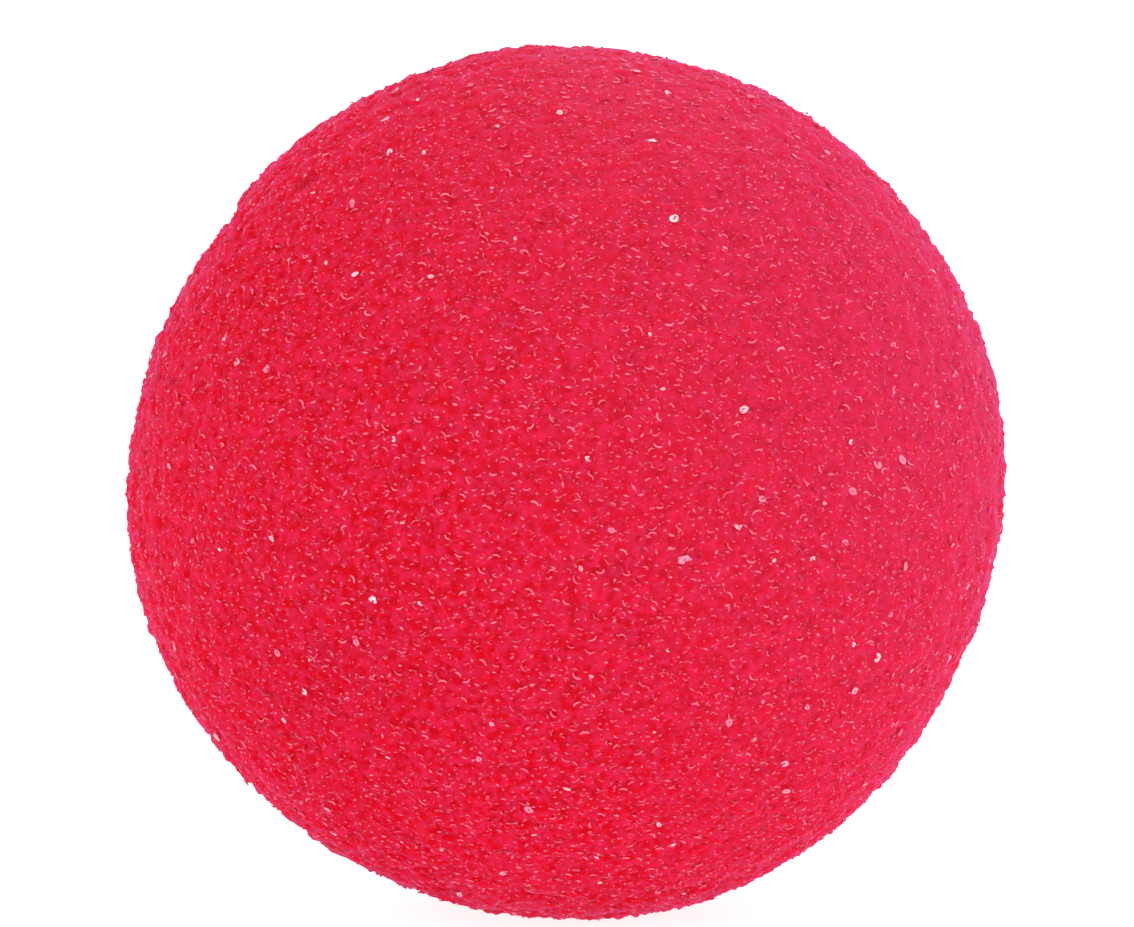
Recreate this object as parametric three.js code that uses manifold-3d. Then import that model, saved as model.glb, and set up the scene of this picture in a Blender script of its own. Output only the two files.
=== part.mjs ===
// A foam clown nose: one soft sponge ball with a slit-like hollow cut into its back, which the
// wearer's nose goes into. Lengths are millimetres and angles are degrees.
// +Z is up, -Y is the front of the nose and +Y is its back, which lies against the face.
// The origin is on the small flat that the ball stands on, straight below the ball's centre.

import * as THREE from "three";
import { mergeVertices } from "three/addons/utils/BufferGeometryUtils.js";
import Module from "manifold-3d";

// Driving dimensions
const BALL_DIAMETER = 50;
const FOOT_DIAMETER = 7;
const HOLLOW_DEPTH = 23; // from the back of the ball
const HOLLOW_HEIGHT = 30; // from tip to tip, at the mouth
const HOLLOW_WIDTH = 15; // from lip to lip, at the mouth

// How finely the round shapes are faceted
const BALL_DETAIL = 16;
const HOLLOW_SIDES = 40;
const FACET_TURN = THREE.MathUtils.degToRad(11);

// How round the tips of the slit are: 0 gives a sharp lens, 1 gives an ellipse
const TIP_ROUNDNESS = 0.25;

// Shallow flats and swells that grinding the ball from a block has left in its outline.
// around is the place in the front view, from +X up towards +Z. forward turns the place from the
// outline towards the front. lift is a share of the ball's radius, and spread is how far from its
// middle the flat or swell has faded to about a third.
const GROUND_SPOTS = [
  { around: 16, forward: 0, lift: 0.009, spread: 18 },
  { around: 57, forward: 0, lift: 0.008, spread: 13 },
  { around: 97, forward: 0, lift: 0.006, spread: 13 },
  { around: 148, forward: 0, lift: -0.017, spread: 12 },
  { around: 191, forward: 0, lift: 0.016, spread: 15 },
  { around: 213, forward: 0, lift: 0.005, spread: 14 },
  { around: 248, forward: 0, lift: -0.011, spread: 11 },
  { around: 286, forward: 0, lift: 0.013, spread: 12 },
  { around: 306, forward: 0, lift: 0.004, spread: 10 },
  { around: 333, forward: 0, lift: -0.013, spread: 14 },
  { around: 214, forward: 50, lift: -0.006, spread: 18 },
  { around: 62, forward: 42, lift: 0.004, spread: 20 },
];

// The hollow's sections from outside the ball inwards. inward is a share of HOLLOW_DEPTH, and
// height and width are shares of HOLLOW_HEIGHT and HOLLOW_WIDTH.
const HOLLOW_SECTIONS = [
  { inward: -0.12, height: 1.06, width: 1.3 },
  { inward: 0.0, height: 1.03, width: 1.14 },
  { inward: 0.12, height: 1.0, width: 1.0 },
  { inward: 0.35, height: 0.93, width: 0.84 },
  { inward: 0.6, height: 0.82, width: 0.67 },
  { inward: 0.8, height: 0.69, width: 0.52 },
  { inward: 0.92, height: 0.57, width: 0.38 },
  { inward: 0.98, height: 0.45, width: 0.24 },
  { inward: 1.0, height: 0.32, width: 0.1 },
];

const FOAM_RED = 0xe4203f;
const BALL_RADIUS = BALL_DIAMETER / 2;
const CENTRE_HEIGHT = Math.sqrt(BALL_RADIUS ** 2 - (FOOT_DIAMETER / 2) ** 2);

const wasm = await Module();
wasm.setup();

// A closed geometry as a solid that can be cut.
function solidOf(geometry) {
  const bare = geometry.clone();
  bare.deleteAttribute("normal");
  bare.deleteAttribute("uv");
  const merged = mergeVertices(bare);
  return new wasm.Manifold(
    new wasm.Mesh({
      numProp: 3,
      vertProperties: merged.attributes.position.array,
      triVerts: new Uint32Array(merged.index.array),
    }),
  );
}

// A solid as a geometry with its own normals.
function geometryOf(solid) {
  const mesh = solid.getMesh();
  const geometry = new THREE.BufferGeometry();
  geometry.setAttribute("position", new THREE.BufferAttribute(mesh.vertProperties, 3));
  geometry.setIndex(new THREE.BufferAttribute(mesh.triVerts, 1));
  geometry.computeVertexNormals();
  return geometry;
}

// The unit vector of a place on the ball.
function directionOf({ around, forward }) {
  const turn = THREE.MathUtils.degToRad(around);
  const lean = THREE.MathUtils.degToRad(forward);
  return new THREE.Vector3(
    Math.cos(turn) * Math.cos(lean),
    -Math.sin(lean),
    Math.sin(turn) * Math.cos(lean),
  );
}

// The ball's radius in a direction, with the flats and swells that lie near it.
function groundRadius(direction) {
  const lift = GROUND_SPOTS.reduce((sum, spot) => {
    const away = THREE.MathUtils.radToDeg(direction.angleTo(directionOf(spot)));
    return sum + spot.lift * Math.exp(-((away / spot.spread) ** 2));
  }, 0);
  return BALL_RADIUS * (1 + lift);
}

// The whole ball about its own centre, before anything is cut from it. The facets are turned so
// that none of their corners lies in the hollow's middle planes, where a cut would leave slivers.
function ballGeometry() {
  const geometry = new THREE.IcosahedronGeometry(1, BALL_DETAIL);
  geometry.rotateX(FACET_TURN).rotateZ(FACET_TURN);
  const places = geometry.getAttribute("position");
  const direction = new THREE.Vector3();
  for (let i = 0; i < places.count; i++) {
    direction.fromBufferAttribute(places, i).normalize();
    const { x, y, z } = direction.clone().multiplyScalar(groundRadius(direction));
    places.setXYZ(i, x, y, z);
  }
  return geometry;
}

// All that lies below the floor, about the ball's centre.
function underFloorGeometry() {
  const side = 2 * BALL_DIAMETER;
  return new THREE.BoxGeometry(side, side, side).translate(0, 0, -CENTRE_HEIGHT - side / 2);
}

// One lens-shaped section of the hollow, as a ring of points in the plane at its depth.
function hollowRing({ inward, height, width }) {
  return Array.from({ length: HOLLOW_SIDES }, (_, i) => {
    const turn = (2 * Math.PI * i) / HOLLOW_SIDES;
    const across = Math.cos(turn);
    const lens = across * ((1 - TIP_ROUNDNESS) * Math.abs(across) + TIP_ROUNDNESS);
    return new THREE.Vector3(
      (lens * width * HOLLOW_WIDTH) / 2,
      BALL_RADIUS - inward * HOLLOW_DEPTH,
      (Math.sin(turn) * height * HOLLOW_HEIGHT) / 2,
    );
  });
}

// The space that is cut out of the back, as a skin over its rings with a fan at each end.
function hollowGeometry() {
  const rings = HOLLOW_SECTIONS.map(hollowRing);
  const middleOf = (ring) =>
    ring.reduce((sum, point) => sum.add(point), new THREE.Vector3()).divideScalar(ring.length);
  const points = [...rings.flat(), middleOf(rings[0]), middleOf(rings.at(-1))];
  const outerMiddle = points.length - 2;
  const innerMiddle = points.length - 1;
  const lastRing = (rings.length - 1) * HOLLOW_SIDES;
  const faces = [];
  for (let i = 0; i < HOLLOW_SIDES; i++) {
    const next = (i + 1) % HOLLOW_SIDES;
    for (let ring = 0; ring < rings.length - 1; ring++) {
      const outer = ring * HOLLOW_SIDES;
      const inner = outer + HOLLOW_SIDES;
      faces.push(outer + i, inner + next, inner + i);
      faces.push(outer + i, outer + next, inner + next);
    }
    faces.push(outerMiddle, next, i);
    faces.push(innerMiddle, lastRing + i, lastRing + next);
  }
  return new THREE.BufferGeometry().setFromPoints(points).setIndex(faces);
}

// The ball of sponge, standing on its flat, with the hollow cut into its back.
function foamBall() {
  const solid = solidOf(ballGeometry())
    .subtract(solidOf(underFloorGeometry()))
    .subtract(solidOf(hollowGeometry()));
  const material = new THREE.MeshStandardMaterial({
    color: FOAM_RED,
    roughness: 0.85,
    metalness: 0,
  });
  const mesh = new THREE.Mesh(geometryOf(solid), material);
  mesh.name = "foam_ball";
  mesh.position.z = CENTRE_HEIGHT;
  return mesh;
}

const clownNose = new THREE.Group();
clownNose.add(foamBall());

export default clownNose;
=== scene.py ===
"""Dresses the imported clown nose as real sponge: open cells, pore rims, cut threads and light."""

import logging
import math
from dataclasses import dataclass
from enum import Enum
from typing import Any

import bmesh
import bpy
import numpy as np
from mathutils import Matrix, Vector, noise
from mathutils.bvhtree import BVHTree


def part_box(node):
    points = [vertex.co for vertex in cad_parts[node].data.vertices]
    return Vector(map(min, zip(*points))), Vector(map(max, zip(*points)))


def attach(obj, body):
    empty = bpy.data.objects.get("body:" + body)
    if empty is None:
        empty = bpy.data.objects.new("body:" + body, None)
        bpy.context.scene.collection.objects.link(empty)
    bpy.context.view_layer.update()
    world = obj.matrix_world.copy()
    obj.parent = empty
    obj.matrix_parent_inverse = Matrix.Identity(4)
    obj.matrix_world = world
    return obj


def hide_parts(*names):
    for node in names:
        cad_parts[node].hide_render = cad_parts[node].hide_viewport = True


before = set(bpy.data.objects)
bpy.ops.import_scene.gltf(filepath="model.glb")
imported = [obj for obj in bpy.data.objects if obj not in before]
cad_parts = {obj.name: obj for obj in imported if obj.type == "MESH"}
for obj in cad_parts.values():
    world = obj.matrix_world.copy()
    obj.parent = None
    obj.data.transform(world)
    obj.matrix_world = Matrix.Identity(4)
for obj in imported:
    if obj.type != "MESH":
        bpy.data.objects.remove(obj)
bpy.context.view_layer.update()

logging.basicConfig(level=logging.INFO, format="%(message)s")
log = logging.getLogger("clown_nose")

MM = 0.001
NODE = "foam_ball"
BODY = "root"
WELD = 0.001 * MM
NOISE_MIDDLE = (0.5, 0.5, 0.5)


class Region(Enum):
    """The side of the ball that a mesh of details covers, with the sign of its places along Y."""

    FRONT = -1.0
    BACK = 1.0


@dataclass
class Graph:
    """A node tree, with short ways to add nodes and join them."""

    tree: bpy.types.NodeTree

    def add(
        self, kind: str, inputs: dict[str | int, Any] | None = None, **settings: Any
    ) -> bpy.types.Node:
        """Adds a node, sets it up and fills its inputs.

        Args:
            kind: The node's type name.
            inputs: Each input's name or number, with a value or the socket to join to it.
            settings: The node's own properties.

        Returns:
            The new node.
        """
        node = self.tree.nodes.new(kind)
        for name, value in settings.items():
            setattr(node, name, value)
        for key, value in (inputs or {}).items():
            self.fill(node.inputs[key], value)
        return node

    def fill(self, socket: bpy.types.NodeSocket, value: Any) -> None:
        """Joins a socket to another one, or sets its value.

        Args:
            socket: The input to fill.
            value: A node, whose first output is taken, an output socket or a plain value.
        """
        if isinstance(value, bpy.types.Node):
            value = value.outputs[0]
        if isinstance(value, bpy.types.NodeSocket):
            self.tree.links.new(value, socket)
        else:
            socket.default_value = value

    def math(self, operation: str, *values: Any) -> bpy.types.NodeSocket:
        """Adds a Math node and returns its result."""
        return self.add("ShaderNodeMath", dict(enumerate(values)), operation=operation).outputs[0]

    def vector(self, operation: str, *values: Any) -> bpy.types.NodeSocket:
        """Adds a Vector Math node.

        Args:
            operation: The node's operation.
            values: Its inputs in order, with the scale second for SCALE.

        Returns:
            Its vector, or its value for a distance.
        """
        node = self.add("ShaderNodeVectorMath", operation=operation)
        for place, value in enumerate(values):
            slot = 3 if operation == "SCALE" and place == 1 else place
            self.fill(node.inputs[slot], value)
        return node.outputs["Value" if operation == "DISTANCE" else "Vector"]

    def spread(
        self, value: Any, old: tuple[float, float], new: tuple[float, float]
    ) -> bpy.types.NodeSocket:
        """Maps a value from one range to another, clamped, and returns the result."""
        inputs = dict(enumerate((value, *old, *new)))
        return self.add("ShaderNodeMapRange", inputs).outputs[0]

    def mix(self, factor: Any, first: Any, second: Any) -> bpy.types.NodeSocket:
        """Mixes two colours and returns the result."""
        node = self.add("ShaderNodeMix", {0: factor, 6: first, 7: second}, data_type="RGBA")
        return node.outputs[2]

    def random(self, low: float, high: float, seed: int) -> bpy.types.NodeSocket:
        """A random number for each element, the same in every run.

        Args:
            low: The least value.
            high: The greatest value.
            seed: The fixed seed.

        Returns:
            The socket of the random value.
        """
        node = self.add("FunctionNodeRandomValue", {2: low, 3: high, "Seed": seed}, data_type="FLOAT")
        return node.outputs[1]

    def random_vector(self, seed: int) -> bpy.types.NodeSocket:
        """A random vector for each element, up to 1 along each axis, the same in every run.

        Args:
            seed: The fixed seed.

        Returns:
            The socket of the random vector.
        """
        node = self.add("FunctionNodeRandomValue", {"Seed": seed}, data_type="FLOAT_VECTOR")
        node.inputs[0].default_value = (-1.0,) * 3
        node.inputs[1].default_value = (1.0,) * 3
        return node.outputs[0]


def geometry_graph(
    name: str, sizes: dict[str, tuple[str, Any]]
) -> tuple[Graph, bpy.types.Node, bpy.types.Node]:
    """Starts a Geometry Nodes tree with named inputs.

    Args:
        name: The tree's name.
        sizes: Each input's name, with its socket type and its default.

    Returns:
        The graph, its Group Input node and its Group Output node.
    """
    tree = bpy.data.node_groups.new(name, "GeometryNodeTree")
    tree.interface.new_socket("Geometry", in_out="INPUT", socket_type="NodeSocketGeometry")
    for label, (kind, default) in sizes.items():
        socket = tree.interface.new_socket(label, in_out="INPUT", socket_type=kind)
        if default is not None:
            socket.default_value = default
    tree.interface.new_socket("Geometry", in_out="OUTPUT", socket_type="NodeSocketGeometry")
    graph = Graph(tree)
    return graph, graph.add("NodeGroupInput"), graph.add("NodeGroupOutput")


def grow(
    name: str, base: bpy.types.Mesh, tree: bpy.types.NodeTree, sizes: dict[str, Any]
) -> bpy.types.Object:
    """Runs a Geometry Nodes tree on a mesh and keeps the result as a plain mesh.

    Args:
        name: The new object's name.
        base: The mesh that the tree starts from.
        tree: The Geometry Nodes tree.
        sizes: Values for the tree's named inputs.

    Returns:
        An object that holds the result, with no modifier.
    """
    seed_object = bpy.data.objects.new(name + "_base", base)
    bpy.context.scene.collection.objects.link(seed_object)
    modifier = seed_object.modifiers.new("shape", "NODES")
    modifier.node_group = tree
    sockets = {s.name: s.identifier for s in tree.interface.items_tree if s.in_out == "INPUT"}
    for label, value in sizes.items():
        modifier[sockets[label]] = value
    bpy.context.view_layer.update()
    evaluated = seed_object.evaluated_get(bpy.context.evaluated_depsgraph_get())
    mesh = bpy.data.meshes.new_from_object(evaluated)
    mesh.name = name
    bpy.data.objects.remove(seed_object)
    piece = bpy.data.objects.new(name, mesh)
    bpy.context.scene.collection.objects.link(piece)
    return piece


def triangle_count(mesh: bpy.types.Mesh) -> int:
    """How many triangles a mesh has once its faces are split."""
    mesh.calc_loop_triangles()
    return len(mesh.loop_triangles)


@dataclass(frozen=True)
class ShadeSpot:
    """A soft spot of painted shade on the foam, darkest at its middle and fading with its reach."""

    place: tuple[float, float, float]
    reach: float
    strength: float


@dataclass(frozen=True)
class FoamRed:
    """The colour of the foam: patchy red, with painted shade in the pits and in spots, faint painted glints
    ringed with painted shadow, and a painted highlight haze towards the upper right.
    """

    even: tuple[float, float, float] = (0.653, 0.0108, 0.061)
    # The deep red of random patches, also used for painted shade at the bottom of the pits.
    deep: tuple[float, float, float] = (0.59, 0.0005, 0.009)
    # Painted highlight haze: paler and pinker towards the upper right, where the lights fall.
    painted_haze: tuple[float, float, float] = (0.615, 0.0255, 0.102)
    # A faint painted highlight, then the painted shadow that rings each one.
    painted_glint: tuple[float, float, float] = (0.85, 0.11, 0.19)
    shadow_fringe: tuple[float, float, float] = (0.42, 0.001, 0.010)
    # The colour of the painted shade spots below.
    painted_shade: tuple[float, float, float] = (0.38, 0.001, 0.010)
    patch: float = 0.55 * MM
    patch_noise: tuple[float, float] = (0.39, 0.61)
    patch_strength: float = 0.95
    pit_shade_strength: float = 0.2
    fleck_pitch: float = 0.48 * MM
    fleck_squash: float = 2.2
    fleck_tilt: float = 20.0
    fleck_warp: float = 0.3 * MM
    fleck_rarity: float = 1.6
    # Edges of each painted glint, then of its painted shadow ring, and how dark that ring is.
    core_edge: tuple[float, float] = (0.12, 0.32)
    fringe_edge: tuple[float, float] = (0.34, 0.5)
    fringe_strength: float = 0.6
    # Where the painted highlight haze is strongest, and how far it fades.
    painted_haze_middle: tuple[float, float, float] = (21.0 * MM, 3.0 * MM, 35.0 * MM)
    painted_haze_reach: float = 40.0 * MM
    painted_haze_strength: float = 0.98
    # Painted shade: in the middle of the dent on the upper left, and a broad faint one over the lower left,
    # which faces away from the lights.
    shade_spots: tuple[ShadeSpot, ...] = (
        ShadeSpot(place=(-14.7 * MM, -9.9 * MM, 42.6 * MM), reach=1.0 * MM, strength=0.9),
        ShadeSpot(place=(-13.5 * MM, -19.0 * MM, 15.7 * MM), reach=11.0 * MM, strength=0.12),
    )

    def group(self) -> bpy.types.NodeTree:
        """The red, with its painted shade and painted highlights, as a shader group that every finish of
        the foam shares.

        Returns:
            The group. It takes the object's own coordinates and a depth from 0 to 1, and gives a colour.
        """
        tree = bpy.data.node_groups.new("foam_red", "ShaderNodeTree")
        tree.interface.new_socket("Place", in_out="INPUT", socket_type="NodeSocketVector")
        tree.interface.new_socket("Depth", in_out="INPUT", socket_type="NodeSocketFloat")
        tree.interface.new_socket("Colour", in_out="OUTPUT", socket_type="NodeSocketColor")
        graph = Graph(tree)
        given = graph.add("NodeGroupInput").outputs
        result = graph.add("NodeGroupOutput")
        place = given["Place"]
        patches = graph.add(
            "ShaderNodeTexNoise",
            {"Vector": place, "Scale": 1.0 / self.patch, "Detail": 2.0},
        )
        level = graph.spread(patches, self.patch_noise, (0.0, self.patch_strength))
        # Painted shade: each pit darkens towards the deep red with its depth.
        level = graph.math("MULTIPLY_ADD", given["Depth"], self.pit_shade_strength, level)
        colour = graph.mix(level, (*self.even, 1), (*self.deep, 1))
        # Painted highlight haze, strongest towards the upper right and fading with distance.
        away = graph.vector("DISTANCE", place, self.painted_haze_middle)
        painted_haze_mask = graph.spread(away, (0.0, self.painted_haze_reach), (self.painted_haze_strength, 0.0))
        colour = graph.mix(painted_haze_mask, colour, (*self.painted_haze, 1))
        # Faint painted glints, each ringed with painted shadow.
        cores, shadow_fringes = self._flecks(graph, place, patches.outputs["Color"])
        colour = graph.mix(shadow_fringes, colour, (*self.shadow_fringe, 1))
        colour = graph.mix(cores, colour, (*self.painted_glint, 1))
        # Painted shade spots.
        for shade_spot in self.shade_spots:
            away = graph.vector("DISTANCE", place, shade_spot.place)
            shade_mask = graph.spread(away, (0.0, shade_spot.reach), (shade_spot.strength, 0.0))
            colour = graph.mix(shade_mask, colour, (*self.painted_shade, 1))
        graph.fill(result.inputs["Colour"], colour)
        return tree

    def _flecks(
        self, graph: Graph, place: Any, wander: Any
    ) -> tuple[bpy.types.NodeSocket, bpy.types.NodeSocket]:
        """Faint short painted glints, most of them level, each with its own strength and a ring of painted
        shadow.

        Args:
            graph: The group's graph.
            place: The object's own coordinates.
            wander: A soft noise that bends the marks.

        Returns:
            The masks of the painted glints and of their painted shadow rings.
        """
        swing = graph.vector("SCALE", graph.vector("SUBTRACT", wander, NOISE_MIDDLE), self.fleck_warp)
        turned = graph.add(
            "ShaderNodeVectorRotate",
            {"Vector": graph.vector("ADD", place, swing), "Angle": math.radians(self.fleck_tilt)},
            rotation_type="Y_AXIS",
        )
        squashed = graph.vector("MULTIPLY", turned, (1.0, 1.0, self.fleck_squash))
        marks = graph.add("ShaderNodeTexVoronoi", {"Vector": squashed, "Scale": 1.0 / self.fleck_pitch})
        away = marks.outputs["Distance"]
        lot = graph.add("ShaderNodeSeparateColor", {0: marks.outputs["Color"]}).outputs[0]
        strength = graph.math("POWER", lot, self.fleck_rarity)
        inner = graph.spread(away, self.core_edge, (1.0, 0.0))
        core = graph.math("MULTIPLY", inner, strength)
        outer = graph.spread(away, self.fringe_edge, (self.fringe_strength, 0.0))
        shadow_fringe = graph.math("MULTIPLY", outer, strength)
        return core, shadow_fringe


@dataclass(frozen=True)
class Bloom:
    """The soft light that the fine broken cells of the foam throw back where they are seen edge-on."""

    weight: float = 0.3
    roughness: float = 0.25
    tint: tuple[float, float, float] = (0.55, 0.37, 1.0)

    def lay(self, shader: bpy.types.Node) -> None:
        """Sets the bloom on a shader, as its sheen.

        Args:
            shader: The Principled BSDF node.
        """
        shader.inputs["Sheen Weight"].default_value = self.weight
        shader.inputs["Sheen Roughness"].default_value = self.roughness
        shader.inputs["Sheen Tint"].default_value = (*self.tint, 1)


@dataclass(frozen=True)
class SpongeFinish:
    """The matt body of the foam, which lets red light through."""

    name: str
    roughness: float = 0.6
    specular: float = 0.08
    glow: float = 0.7
    glow_reach: float = 3.0 * MM
    glow_shares: tuple[float, float, float] = (1.0, 0.05, 0.08)
    bloom: Bloom = Bloom()

    def material(self, red: bpy.types.NodeTree) -> bpy.types.Material:
        """Makes the finish.

        Args:
            red: The group that gives the foam its red.

        Returns:
            The material.
        """
        material = bpy.data.materials.new(self.name)
        material.use_nodes = True
        graph = Graph(material.node_tree)
        shader = graph.tree.nodes["Principled BSDF"]
        # The pits' depth, for the painted shade at their bottoms.
        depth = graph.add("ShaderNodeAttribute", attribute_name="depth").outputs["Fac"]
        place = graph.add("ShaderNodeTexCoord").outputs["Object"]
        dye = graph.add("ShaderNodeGroup", {"Place": place, "Depth": depth}, node_tree=red)
        graph.fill(shader.inputs["Base Color"], dye)
        shader.inputs["Roughness"].default_value = self.roughness
        shader.inputs["Specular IOR Level"].default_value = self.specular
        shader.inputs["Subsurface Weight"].default_value = self.glow
        shader.inputs["Subsurface Radius"].default_value = self.glow_shares
        shader.inputs["Subsurface Scale"].default_value = self.glow_reach
        self.bloom.lay(shader)
        return material


@dataclass(frozen=True)
class ThreadFinish:
    """The shiny threads and skins of the cells, with painted highlights from the foam's own red to nearly
    white.
    """

    name: str
    # Colours of the painted highlights on the details: pink, then nearly white past pink_at.
    pink: tuple[float, float, float] = (1.0, 0.22, 0.34)
    white: tuple[float, float, float] = (1.0, 0.85, 0.88)
    pink_at: float = 0.45
    roughness: float = 0.25
    specular: float = 0.15
    bloom: Bloom = Bloom(weight=0.14)

    def material(self, red: bpy.types.NodeTree) -> bpy.types.Material:
        """Makes the finish.

        Args:
            red: The group that gives the foam its red.

        Returns:
            The material.
        """
        material = bpy.data.materials.new(self.name)
        material.use_nodes = True
        graph = Graph(material.node_tree)
        shader = graph.tree.nodes["Principled BSDF"]
        # Each detail's stored paleness is its painted highlight: pink first, then nearly white, over the
        # foam's red.
        pale = graph.add("ShaderNodeAttribute", attribute_name="pale").outputs["Fac"]
        place = graph.add("ShaderNodeTexCoord").outputs["Object"]
        dye = graph.add("ShaderNodeGroup", {"Place": place, "Depth": 0.0}, node_tree=red)
        pinkness = graph.spread(pale, (0.0, self.pink_at), (0.0, 1.0))
        pink = graph.mix(pinkness, dye, (*self.pink, 1))
        whiteness = graph.spread(pale, (self.pink_at, 1.0), (0.0, 1.0))
        colour = graph.mix(whiteness, pink, (*self.white, 1))
        graph.fill(shader.inputs["Base Color"], colour)
        shader.inputs["Roughness"].default_value = self.roughness
        shader.inputs["Specular IOR Level"].default_value = self.specular
        self.bloom.lay(shader)
        return material


@dataclass(frozen=True)
class Dent:
    """A small hollow, or a bump where its depth is negative, that fades with its reach along X, Y and Z."""

    place: tuple[float, float, float]
    reach: tuple[float, float, float]
    depth: float

    def at(self, place: Vector) -> float:
        """How far the surface is pressed in at a place."""
        away = sum(((p - q) / r) ** 2 for p, q, r in zip(place, self.place, self.reach))
        return self.depth * math.exp(-away)


@dataclass
class CellNet:
    """An irregular net of triangles over the whole sponge, one corner for each open cell."""

    cell_pitch: float = 0.66 * MM
    voxel_share: float = 1.1
    rounds: int = 6
    settling: int = 5
    pull: float = 0.5
    jitter: float = 0.24
    seed: int = 7
    swell_height: float = 0.27 * MM
    swell_size: float = 1.2 * MM
    dents: tuple[Dent, ...] = (
        Dent((-14.7 * MM, -9.9 * MM, 42.6 * MM), (1.0 * MM, 0.8 * MM, 0.5 * MM), 0.35 * MM),
        Dent((-19.1 * MM, -0.6 * MM, 40.0 * MM), (0.6 * MM, 4.0 * MM, 0.6 * MM), 0.32 * MM),
        Dent((-18.1 * MM, -0.6 * MM, 41.3 * MM), (0.6 * MM, 1.5 * MM, 0.6 * MM), -0.15 * MM),
        Dent((24.8 * MM, -1.5 * MM, 28.1 * MM), (0.4 * MM, 0.4 * MM, 0.4 * MM), -0.3 * MM),
    )

    def build(self, solid: bpy.types.Object) -> bpy.types.Mesh:
        """Makes the net from the CAD solid.

        Args:
            solid: The CAD node's object.

        Returns:
            A closed mesh of triangles that lies on the solid's surface.
        """
        mesh = self._even_mesh(solid)
        surface = BVHTree.FromPolygons(*self._triangles_of(solid.data))
        net = bmesh.new()
        net.from_mesh(mesh)
        bmesh.ops.triangulate(net, faces=net.faces[:])
        rng = np.random.default_rng(self.seed)
        for turn in range(self.rounds + self.settling):
            shift = self.jitter if turn < self.rounds else 0.0
            self._stir(net, surface, rng, shift)
            bmesh.ops.beautify_fill(net, faces=net.faces[:], edges=net.edges[:], method="ANGLE")
        bmesh.ops.recalc_face_normals(net, faces=net.faces[:])
        self._swell(net)
        net.to_mesh(mesh)
        valence = np.array([len(v.link_edges) for v in net.verts])
        net.free()
        log.info("cell net: %d cells, valences %s", len(mesh.vertices), np.bincount(valence).tolist())
        return mesh

    def _even_mesh(self, solid: bpy.types.Object) -> bpy.types.Mesh:
        """The solid's surface as an even mesh of about one corner for each cell.

        Args:
            solid: The CAD node's object.

        Returns:
            The mesh. The CAD node's own stays as it is.
        """
        even = bpy.data.objects.new("even", solid.data.copy())
        bpy.context.scene.collection.objects.link(even)
        welded = bmesh.new()
        welded.from_mesh(even.data)
        bmesh.ops.remove_doubles(welded, verts=welded.verts[:], dist=WELD)
        welded.to_mesh(even.data)
        welded.free()
        remesh = even.modifiers.new("even", "REMESH")
        remesh.mode = "VOXEL"
        remesh.voxel_size = self.cell_pitch * self.voxel_share
        bpy.context.view_layer.update()
        evaluated = even.evaluated_get(bpy.context.evaluated_depsgraph_get())
        mesh = bpy.data.meshes.new_from_object(evaluated)
        bpy.data.objects.remove(even)
        return mesh

    @staticmethod
    def _triangles_of(mesh: bpy.types.Mesh) -> tuple[list[Vector], list[tuple[int, ...]]]:
        """The corners and faces of a mesh, as a search tree takes them."""
        return [v.co.copy() for v in mesh.vertices], [tuple(p.vertices) for p in mesh.polygons]

    def _swell(self, net: bmesh.types.BMesh) -> None:
        """Raises and lowers the surface softly, as grinding leaves it, and presses the dents in.

        Args:
            net: The net of cells.
        """
        net.normal_update()
        for corner in net.verts:
            height = noise.noise(corner.co / self.swell_size) * self.swell_height
            height -= sum(dent.at(corner.co) for dent in self.dents)
            corner.co += corner.normal * height

    def _stir(
        self, net: bmesh.types.BMesh, surface: BVHTree, rng: np.random.Generator, shift: float
    ) -> None:
        """Moves each corner towards its neighbours' middle and by a random step, along the surface.

        Args:
            net: The net of cells.
            surface: The solid's surface, as a search tree.
            rng: The seeded source of the random steps.
            shift: The size of a random step, as a share of the cells' pitch.
        """
        places = {}
        for corner in net.verts:
            middle = Vector((0, 0, 0))
            for edge in corner.link_edges:
                middle += edge.other_vert(corner).co
            middle /= len(corner.link_edges)
            step = Vector(rng.normal(0, 1, 3)) * self.cell_pitch * shift
            place = corner.co.lerp(middle, self.pull) + step
            places[corner] = surface.find_nearest(place)[0]
        for corner, place in places.items():
            corner.co = place


def close(graph: Graph, geometry: Any, material: Any, result: bpy.types.Node) -> None:
    """Ends a tree: real instances, nothing below the floor, smooth shading and the material.

    Args:
        graph: The tree's graph.
        geometry: What the tree has made.
        material: The finish.
        result: The tree's Group Output node.
    """
    real = graph.add("GeometryNodeRealizeInstances", {"Geometry": geometry})
    place = graph.add("ShaderNodeSeparateXYZ", {0: graph.add("GeometryNodeInputPosition")}).outputs
    height = graph.math("MAXIMUM", place[2], 0.0)
    above = graph.add("ShaderNodeCombineXYZ", {0: place[0], 1: place[1], 2: height})
    stood = graph.add("GeometryNodeSetPosition", {"Geometry": real, "Position": above})
    smooth = graph.add("GeometryNodeSetShadeSmooth", {"Geometry": stood, "Shade Smooth": True})
    dressed = graph.add("GeometryNodeSetMaterial", {"Geometry": smooth, "Material": material})
    graph.fill(result.inputs[0], dressed)


def add_piece(piece: bpy.types.Object) -> bpy.types.Object:
    """Lets a finished piece ride on the frame.

    Args:
        piece: The finished piece.

    Returns:
        The same piece.
    """
    log.info("%s: %d triangles", piece.name, triangle_count(piece.data))
    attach(piece, BODY)
    return piece


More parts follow.
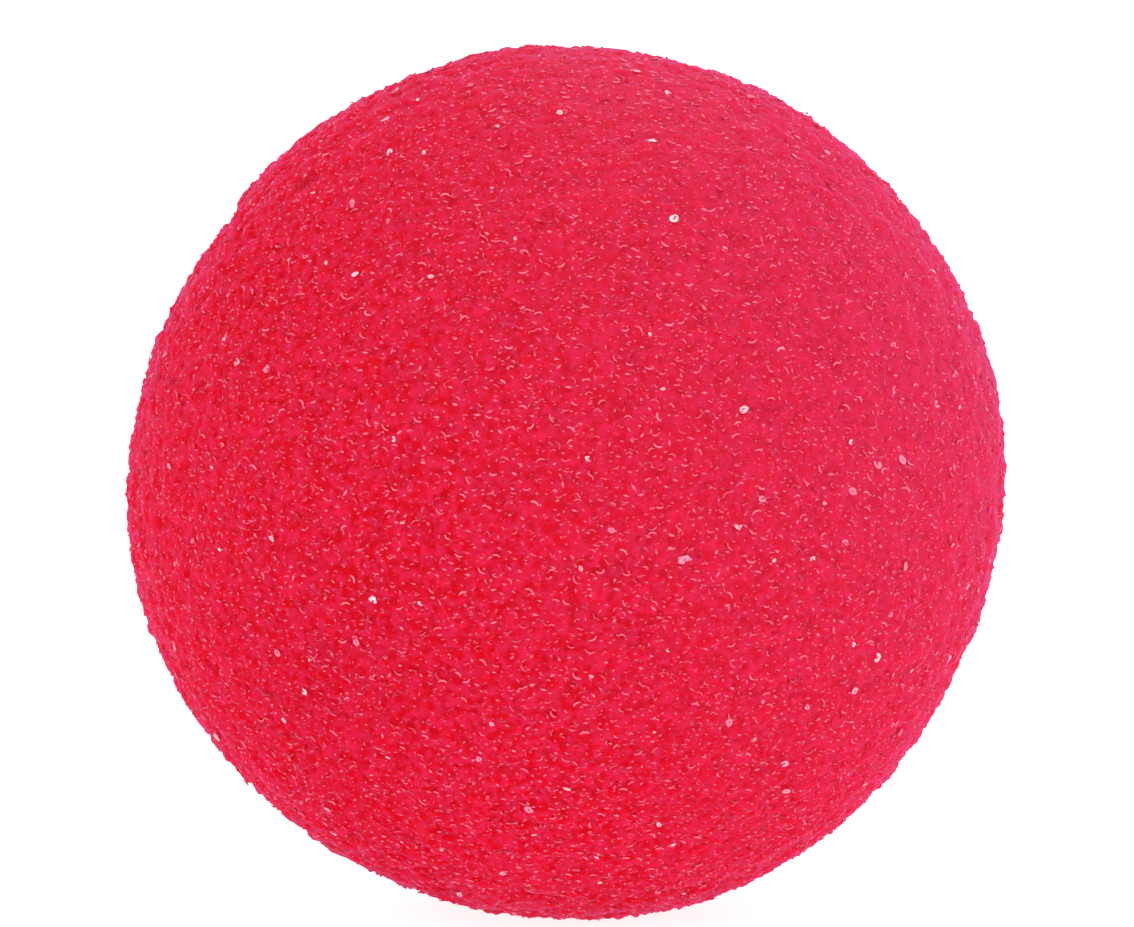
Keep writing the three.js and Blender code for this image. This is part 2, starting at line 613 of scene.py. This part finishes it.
@dataclass
class SpongeBody:
    """The ball itself: one closed skin with an open pit for each cell."""

    pit_depth: float = 0.15 * MM
    pit_depths: tuple[float, float] = (-1.6, -0.4)
    pit_seed: int = 13
    ridge_height: float = 0.15 * MM
    ridge_seed: int = 11
    fill: float = 1.0

    def tree(self) -> bpy.types.NodeTree:
        """The rule that turns the net of cells into pits.

        Returns:
            The tree, with the depth of the pits, the height of the ridges and the finish as inputs.
        """
        graph, given, result = geometry_graph(
            "sponge_pits",
            {
                "Pit Depth": ("NodeSocketFloat", self.pit_depth),
                "Ridge Height": ("NodeSocketFloat", self.ridge_height),
                "Foam": ("NodeSocketMaterial", None),
            },
        )
        size = given.outputs
        cells = graph.add("GeometryNodeDualMesh", {"Mesh": size["Geometry"]})
        normal = graph.add("GeometryNodeInputNormal").outputs[0]
        swing = graph.random(-1.0, 1.0, self.ridge_seed)
        ridge = graph.math("MULTIPLY", size["Ridge Height"], swing)
        kept = graph.add(
            "GeometryNodeStoreNamedAttribute",
            {"Geometry": cells, "Name": "outward", "Value": normal},
            data_type="FLOAT_VECTOR",
            domain="POINT",
        )
        raised = graph.add(
            "GeometryNodeSetPosition",
            {"Geometry": kept, "Offset": graph.vector("SCALE", normal, ridge)},
        )
        pits = graph.add(
            "GeometryNodeExtrudeMesh",
            {"Mesh": raised, "Offset Scale": 0.0, "Individual": True},
            mode="FACES",
        )
        floor = pits.outputs["Top"]
        shrunk = graph.add(
            "GeometryNodeScaleElements",
            {"Geometry": pits.outputs["Mesh"], "Selection": floor, "Scale": 0.0},
        )
        marked = graph.add(
            "GeometryNodeStoreNamedAttribute",
            {"Geometry": shrunk, "Selection": floor, "Name": "depth", "Value": 1.0},
            data_type="FLOAT",
            domain="POINT",
        )
        joined = graph.add(
            "GeometryNodeMergeByDistance",
            {"Geometry": marked, "Selection": floor, "Distance": WELD},
        )
        uneven = graph.random(*self.pit_depths, self.pit_seed)
        deep = graph.math("MULTIPLY", size["Pit Depth"], uneven)
        stored = graph.add("GeometryNodeInputNamedAttribute", {"Name": "depth"}, data_type="FLOAT")
        sink = graph.math("MULTIPLY", deep, stored.outputs[0])
        sunk = graph.add(
            "GeometryNodeSetPosition",
            {"Geometry": joined, "Offset": graph.vector("SCALE", normal, sink)},
        )
        close(graph, sunk, size["Foam"], result)
        return graph.tree

    def build(self, net: bpy.types.Mesh, material: bpy.types.Material) -> bpy.types.Object:
        """Makes the body from the net.

        Args:
            net: The net of cells.
            material: The foam's finish.

        Returns:
            The finished piece, riding on the frame.
        """
        sizes = {
            "Pit Depth": self.pit_depth,
            "Ridge Height": self.ridge_height,
            "Foam": material,
        }
        piece = grow("sponge_body", net.copy(), self.tree(), sizes)
        add_piece(piece)
        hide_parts(NODE)
        return piece


def mostly_red(graph: Graph, palest: float, seed: int) -> bpy.types.NodeSocket:
    """A painted highlight for each detail, as a paleness that is low for most of them and highest for few.

    Args:
        graph: The details' graph.
        palest: The greatest paleness.
        seed: The fixed seed.

    Returns:
        The socket of the paleness.
    """
    least = 0.3
    rarity = 1.8
    share = graph.math("POWER", graph.random(least, 1.0, seed), rarity)
    return graph.math("MULTIPLY", share, palest)


@dataclass
class Strewn:
    """One kind of small detail, strewn evenly over the sponge's skin, front and back apart."""

    name: str = "detail"
    spacing: float = 0.5 * MM
    crowding: float = 5.0
    share: float = 1.0
    lift: float = 0.0
    lifts: tuple[float, float] = (0.4, 1.6)
    tilt: float = 15.0
    seed: int = 1

    def sizes(self) -> dict[str, float]:
        """The value of each of the tree's own inputs, by name."""
        return {
            "Spacing": self.spacing,
            "Share": self.share,
            "Lift": self.lift,
            "Tilt": math.radians(self.tilt),
        }

    def spin(self, graph: Graph) -> bpy.types.NodeSocket:
        """Each detail's turn about the way that the skin faces, from level."""
        return graph.random(-1.0, 1.0, self.seed + 4)

    def shape(self, graph: Graph, size: Any) -> bpy.types.Node:
        """The mesh of one detail.

        Args:
            graph: The tree's graph.
            size: The outputs of the tree's Group Input node.

        Returns:
            The node that makes the mesh.
        """
        raise NotImplementedError

    def scale(self, graph: Graph, size: Any) -> bpy.types.NodeSocket:
        """Each detail's size against the shape's."""
        raise NotImplementedError

    def paleness(self, graph: Graph) -> bpy.types.NodeSocket:
        """How much painted highlight each detail has, as a paleness from 0 for the foam's own red to 1 for
        white.
        """
        raise NotImplementedError

    def bend(self, graph: Graph, size: Any, laid: bpy.types.Node) -> bpy.types.Node:
        """Makes the laid details uneven, where their kind is.

        Args:
            graph: The tree's graph.
            size: The outputs of the tree's Group Input node.
            laid: The node that lays the details.

        Returns:
            The node with the uneven details.
        """
        return laid

    def tree(self) -> bpy.types.NodeTree:
        """The rule that lays the details on the skin.

        Returns:
            The tree, with the details' own sizes, the side and the finish as inputs.
        """
        inputs: dict[str, tuple[str, Any]] = {
            label: ("NodeSocketFloat", value) for label, value in self.sizes().items()
        }
        inputs["Side"] = ("NodeSocketFloat", 1.0)
        inputs["Foam"] = ("NodeSocketMaterial", None)
        graph, given, result = geometry_graph("sponge_" + self.name, inputs)
        size = given.outputs
        points, turned = self._points(graph, size)
        laid = graph.add(
            "GeometryNodeInstanceOnPoints",
            {
                "Points": points,
                "Instance": self.shape(graph, size),
                "Rotation": turned,
                "Scale": self.scale(graph, size),
            },
        )
        # Each detail's paleness is stored as its painted highlight.
        marked = graph.add(
            "GeometryNodeStoreNamedAttribute",
            {"Geometry": laid, "Name": "pale", "Value": self.paleness(graph)},
            data_type="FLOAT",
            domain="INSTANCE",
        )
        close(graph, self.bend(graph, size, marked), size["Foam"], result)
        return graph.tree

    def build(self, skin: bpy.types.Mesh, material: bpy.types.Material) -> None:
        """Makes the details of the front and of the back.

        Args:
            skin: The body's skin, which they lie on.
            material: Their finish.
        """
        tree = self.tree()
        for region in Region:
            sizes = {**self.sizes(), "Side": region.value, "Foam": material}
            name = f"{self.name}_{region.name.lower()}"
            add_piece(grow(name, skin.copy(), tree, sizes))

    def _points(self, graph: Graph, size: Any) -> tuple[bpy.types.Node, bpy.types.Node]:
        """Spreads points evenly over one side of the skin.

        Args:
            graph: The tree's graph.
            size: The outputs of the tree's Group Input node.

        Returns:
            The points, and the rotation of each.
        """
        spacing = size["Spacing"]
        crowd = graph.math("DIVIDE", self.crowding, graph.math("MULTIPLY", spacing, spacing))
        strewn = graph.add(
            "GeometryNodeDistributePointsOnFaces",
            {
                "Mesh": size["Geometry"],
                "Distance Min": spacing,
                "Density Max": crowd,
                "Seed": self.seed,
            },
            distribute_method="POISSON",
        )
        chosen = graph.math("LESS_THAN", graph.random(0.0, 1.0, self.seed), size["Share"])
        place = graph.add("GeometryNodeInputPosition").outputs[0]
        back = graph.add("ShaderNodeSeparateXYZ", {0: place}).outputs["Y"]
        beside = graph.math("GREATER_THAN", graph.math("MULTIPLY", back, size["Side"]), 0.0)
        points = graph.add(
            "GeometryNodeSeparateGeometry",
            {"Geometry": strewn.outputs["Points"], "Selection": graph.math("MULTIPLY", chosen, beside)},
            domain="POINT",
        )
        stored = graph.add("GeometryNodeInputNamedAttribute", {"Name": "outward"}, data_type="FLOAT_VECTOR")
        out = stored.outputs[0]
        lift = graph.math("MULTIPLY", size["Lift"], graph.random(*self.lifts, self.seed + 1))
        raised = graph.add(
            "GeometryNodeSetPosition",
            {"Geometry": points.outputs["Selection"], "Offset": graph.vector("SCALE", out, lift)},
        )
        upright = graph.add("FunctionNodeAlignRotationToVector", {"Vector": out}, axis="Z")
        level = graph.add(
            "FunctionNodeAlignRotationToVector",
            {"Rotation": upright, "Vector": (0, 0, 1)},
            axis="Y",
            pivot_axis="Z",
        )
        lean = graph.vector("SCALE", graph.random_vector(self.seed + 2), size["Tilt"])
        leans = graph.add("ShaderNodeSeparateXYZ", {0: lean}).outputs
        turn = graph.add("ShaderNodeCombineXYZ", {0: leans[0], 1: leans[1], 2: self.spin(graph)})
        turned = graph.add(
            "FunctionNodeRotateRotation",
            {"Rotation": level, "Rotate By": graph.add("FunctionNodeEulerToRotation", {0: turn})},
            rotation_space="LOCAL",
        )
        return raised, turned


@dataclass
class CutEnds(Strewn):
    """The short pointed ends of the threads that grinding has cut, painted pale as highlights where they
    catch the light.
    """

    name: str = "cut_ends"
    spacing: float = 0.47 * MM
    lift: float = -0.01 * MM
    seed: int = 21
    radius: float = 0.072 * MM
    longest: float = 3.4
    scales: tuple[float, float] = (0.6, 1.25)
    levelness: float = 3.0
    slant: float = -0.25
    palest: float = 0.46

    def sizes(self) -> dict[str, float]:
        """The value of each of the tree's own inputs, by name."""
        return {**super().sizes(), "Radius": self.radius, "Longest": self.longest}

    def spin(self, graph: Graph) -> bpy.types.NodeSocket:
        """Most of them lie nearly level, and few stand upright."""
        swing = graph.math("POWER", graph.random(-1.0, 1.0, self.seed + 4), self.levelness)
        return graph.math("MULTIPLY_ADD", swing, math.pi / 2, self.slant)

    def shape(self, graph: Graph, size: Any) -> bpy.types.Node:
        """A bead with eight faces."""
        return graph.add("GeometryNodeMeshUVSphere", {"Segments": 4, "Rings": 2, "Radius": size["Radius"]})

    def scale(self, graph: Graph, size: Any) -> bpy.types.NodeSocket:
        """From a round dot to a long dash, each of its own size.

        Args:
            graph: The tree's graph.
            size: The outputs of the tree's Group Input node.

        Returns:
            The socket of the scale.
        """
        reach = graph.math("SUBTRACT", size["Longest"], 1.0)
        length = graph.math("MULTIPLY_ADD", graph.random(0.0, 1.0, self.seed + 5), reach, 1.0)
        stretch = graph.add("ShaderNodeCombineXYZ", {0: length, 1: 1.0, 2: 1.0})
        return graph.vector("SCALE", stretch, graph.random(*self.scales, self.seed + 6))

    def paleness(self, graph: Graph) -> bpy.types.NodeSocket:
        """Most are nearly red, and few have a painted highlight as pale as the palest."""
        return mostly_red(graph, self.palest, self.seed + 7)


@dataclass
class PoreRims(Strewn):
    """The curved rims of the open pores, painted pale as highlights."""

    name: str = "pore_rims"
    spacing: float = 0.6 * MM
    lift: float = -0.005 * MM
    tilt: float = 14.0
    seed: int = 31
    reach: float = 0.29 * MM
    sweep: float = 95.0
    radius: float = 0.056 * MM
    end_share: float = 0.55
    swelling: float = 1.8
    scales: tuple[float, float] = (0.4, 1.25)
    wander: tuple[float, float] = (-1.1, 0.6)
    palest: float = 0.43

    def sizes(self) -> dict[str, float]:
        """The value of each of the tree's own inputs, by name."""
        sweep = math.radians(self.sweep)
        return {**super().sizes(), "Reach": self.reach, "Sweep": sweep, "Radius": self.radius}

    def spin(self, graph: Graph) -> bpy.types.NodeSocket:
        """They lie at the top or the bottom of a pore, more or less.

        Args:
            graph: The tree's graph.

        Returns:
            The socket of the turn, in radians.
        """
        top_or_bottom = graph.math("SIGN", graph.random(-1.0, 1.0, self.seed + 3))
        wander = graph.random(*self.wander, self.seed + 4)
        return graph.math("MULTIPLY_ADD", top_or_bottom, math.pi / 2, wander)

    def shape(self, graph: Graph, size: Any) -> bpy.types.Node:
        """A bent thread, thinner towards both of its ends.

        Args:
            graph: The tree's graph.
            size: The outputs of the tree's Group Input node.

        Returns:
            The node that makes the mesh.
        """
        arc = graph.add(
            "GeometryNodeCurveArc",
            {
                "Resolution": 4,
                "Radius": size["Reach"],
                "Start Angle": graph.math("MULTIPLY", size["Sweep"], -0.5),
                "Sweep Angle": size["Sweep"],
            },
            mode="RADIUS",
        )
        ring = graph.add("GeometryNodeCurvePrimitiveCircle", {"Resolution": 3, "Radius": 1.0})
        along = graph.add("GeometryNodeSplineParameter").outputs["Factor"]
        middle = graph.math("MULTIPLY", along, graph.math("SUBTRACT", 1.0, along))
        taper = graph.math("MULTIPLY_ADD", middle, self.swelling, self.end_share)
        return graph.add(
            "GeometryNodeCurveToMesh",
            {
                "Curve": arc.outputs[0],
                "Profile Curve": ring.outputs[0],
                "Scale": graph.math("MULTIPLY", size["Radius"], taper),
                "Fill Caps": True,
            },
        )

    def scale(self, graph: Graph, size: Any) -> bpy.types.NodeSocket:
        """Each is of its own size."""
        return graph.random(*self.scales, self.seed + 5)

    def paleness(self, graph: Graph) -> bpy.types.NodeSocket:
        """Most are nearly red, and few have a painted highlight as pale as the palest."""
        return mostly_red(graph, self.palest, self.seed + 6)


@dataclass
class CellWindows(Strewn):
    """The few cells that a thin skin, painted pale as a highlight, still closes but for a slit."""

    name: str = "windows"
    spacing: float = 2.0 * MM
    share: float = 0.3
    lift: float = 0.03 * MM
    seed: int = 41
    reach: float = 0.2 * MM
    narrow: float = 0.6
    thick: float = 0.09 * MM
    flatness: float = 0.45
    wrinkle: float = 0.12 * MM
    wrinkle_pitch: float = 0.25 * MM
    least_scale: float = 0.45
    growth: float = 0.75
    rarity: float = 2.5
    wander: tuple[float, float] = (-1.2, 0.8)
    least_pale: float = 0.3
    palest: float = 0.8

    def sizes(self) -> dict[str, float]:
        """The value of each of the tree's own inputs, by name."""
        own = {"Reach": self.reach, "Narrow": self.narrow, "Thick": self.thick, "Wrinkle": self.wrinkle}
        return {**super().sizes(), **own}

    def spin(self, graph: Graph) -> bpy.types.NodeSocket:
        """They lean to one side more than to the other."""
        return graph.random(*self.wander, self.seed + 4)

    def shape(self, graph: Graph, size: Any) -> bpy.types.Node:
        """A flat oval ring, so thick that it leaves only a slit.

        Args:
            graph: The tree's graph.
            size: The outputs of the tree's Group Input node.

        Returns:
            The node that makes the mesh.
        """
        loop = graph.add("GeometryNodeCurvePrimitiveCircle", {"Resolution": 10, "Radius": size["Reach"]})
        squash = graph.add("ShaderNodeCombineXYZ", {0: 1.0, 1: size["Narrow"], 2: 1.0})
        oval = graph.add("GeometryNodeTransform", {"Geometry": loop.outputs[0], "Scale": squash})
        ring = graph.add("GeometryNodeCurvePrimitiveCircle", {"Resolution": 6, "Radius": size["Thick"]})
        skin = graph.add("GeometryNodeCurveToMesh", {"Curve": oval, "Profile Curve": ring.outputs[0]})
        return graph.add("GeometryNodeTransform", {"Geometry": skin, "Scale": (1.0, 1.0, self.flatness)})

    def scale(self, graph: Graph, size: Any) -> bpy.types.NodeSocket:
        """Most are small, and few are large."""
        lot = graph.math("POWER", graph.random(0.0, 1.0, self.seed + 5), self.rarity)
        return graph.math("MULTIPLY_ADD", lot, self.growth, self.least_scale)

    def paleness(self, graph: Graph) -> bpy.types.NodeSocket:
        """A painted highlight from pink to nearly white."""
        return graph.random(self.least_pale, self.palest, self.seed + 6)

    def bend(self, graph: Graph, size: Any, laid: bpy.types.Node) -> bpy.types.Node:
        """Wrinkles the skins.

        Args:
            graph: The tree's graph.
            size: The outputs of the tree's Group Input node.
            laid: The node that lays the skins.

        Returns:
            The node with the wrinkled skins.
        """
        real = graph.add("GeometryNodeRealizeInstances", {"Geometry": laid})
        wrinkles = graph.add("ShaderNodeTexNoise", {"Scale": 1.0 / self.wrinkle_pitch, "Detail": 0.0})
        swing = graph.vector("SUBTRACT", wrinkles.outputs["Color"], NOISE_MIDDLE)
        offset = graph.vector("SCALE", swing, size["Wrinkle"])
        return graph.add("GeometryNodeSetPosition", {"Geometry": real, "Offset": offset})


@dataclass
class Studio:
    """The pale floor, the soft lights and the camera."""

    centre: Vector
    camera_away: float = 0.35
    camera_rise: float = 4.5
    aim_rise: float = 0.96 * MM
    lens: float = 193.0
    light_away: float = 0.6
    lights: tuple[tuple[str, tuple[float, float, float], float, float], ...] = (
        ("key_box", (0.45, -0.40, 0.80), 14.0, 0.10),
        ("top_box", (-0.20, -0.45, 0.87), 14.0, 0.08),
        ("left_box", (-0.80, -0.40, 0.45), 14.0, 0.04),
        ("right_box", (0.90, -0.35, 0.20), 16.0, 0.02),
        ("low_box", (0.10, -0.90, 0.10), 8.0, 0.02),
        ("left_rim_box", (-0.90, 0.45, 0.12), 14.0, 0.02),
        ("right_rim_box", (0.90, 0.45, 0.15), 14.0, 0.02),
        ("top_rim_box", (0.15, 0.55, 0.85), 14.0, 0.10),
    )
    surround: float = 1.11
    floor_reach: float = 60.0
    floor_grey: float = 0.55
    floor_roughness: float = 0.9
    floor_glow: float = 0.85

    def build(self) -> None:
        """Makes the floor, the lights and the camera."""
        self._floor()
        self._world()
        for name, way, spread, share in self.lights:
            self._light(name, way, spread, share)
        self._camera()

    def _floor(self) -> None:
        """A wide pale floor under the ball."""
        mesh = bpy.data.meshes.new("floor")
        reach = self.floor_reach
        corners = [(-reach, -reach, 0), (reach, -reach, 0), (reach, reach, 0), (-reach, reach, 0)]
        mesh.from_pydata(corners, [], [(0, 1, 2, 3)])
        floor = bpy.data.objects.new("floor", mesh)
        bpy.context.scene.collection.objects.link(floor)
        material = bpy.data.materials.new("pale_floor")
        material.use_nodes = True
        shader = material.node_tree.nodes["Principled BSDF"]
        shader.inputs["Base Color"].default_value = (*[self.floor_grey] * 3, 1)
        shader.inputs["Roughness"].default_value = self.floor_roughness
        shader.inputs["Specular IOR Level"].default_value = 0.0
        shader.inputs["Emission Color"].default_value = (1, 1, 1, 1)
        shader.inputs["Emission Strength"].default_value = self.floor_glow
        mesh.materials.append(material)
        floor.visible_glossy = False

    def _world(self) -> None:
        """An even white surround."""
        world = bpy.data.worlds.new("studio")
        world.use_nodes = True
        background = world.node_tree.nodes["Background"]
        background.inputs["Color"].default_value = (1, 1, 1, 1)
        background.inputs["Strength"].default_value = self.surround
        world.cycles_visibility.glossy = False
        bpy.context.scene.world = world
        bpy.context.scene.view_settings.view_transform = "Standard"

    def _light(self, name: str, way: tuple[float, float, float], spread: float, share: float) -> None:
        """One round light that faces the ball.

        Args:
            name: The light's name.
            way: The direction from the ball to the light.
            spread: How wide the light looks from the ball, in degrees.
            share: What it gives the ball, as a share of what the surround gives.
        """
        data = bpy.data.lights.new(name, "AREA")
        data.shape = "DISK"
        data.size = 2 * self.light_away * math.tan(math.radians(spread / 2))
        data.energy = share * (math.pi * self.light_away) ** 2
        light = bpy.data.objects.new(name, data)
        direction = Vector(way).normalized()
        light.location = self.centre + direction * self.light_away
        light.rotation_euler = (-direction).to_track_quat("-Z", "Y").to_euler()
        bpy.context.scene.collection.objects.link(light)

    def _camera(self) -> None:
        """The camera, at the photograph's angle."""
        data = bpy.data.cameras.new("camera")
        data.lens = self.lens
        rise = math.radians(self.camera_rise)
        aim = self.centre + Vector((0, 0, self.aim_rise))
        camera = bpy.data.objects.new("camera", data)
        camera.location = aim + self.camera_away * Vector((0, -math.cos(rise), math.sin(rise)))
        camera.rotation_euler = (aim - camera.location).to_track_quat("-Z", "Y").to_euler()
        bpy.context.scene.collection.objects.link(camera)
        bpy.context.scene.camera = camera


def main() -> None:
    """Builds every piece in order."""
    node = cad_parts[NODE]
    low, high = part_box(NODE)
    net = CellNet().build(node)
    red = FoamRed().group()
    centre = Vector((0, 0, (low.z + high.z) / 2))
    foam = SpongeFinish("red_foam").material(red)
    thread = ThreadFinish("red_thread").material(red)
    skin = SpongeBody().build(net, foam).data
    for detail in (CutEnds(), PoreRims(), CellWindows()):
        detail.build(skin, thread)
    Studio(centre).build()


if __name__ == "__main__":
    main()
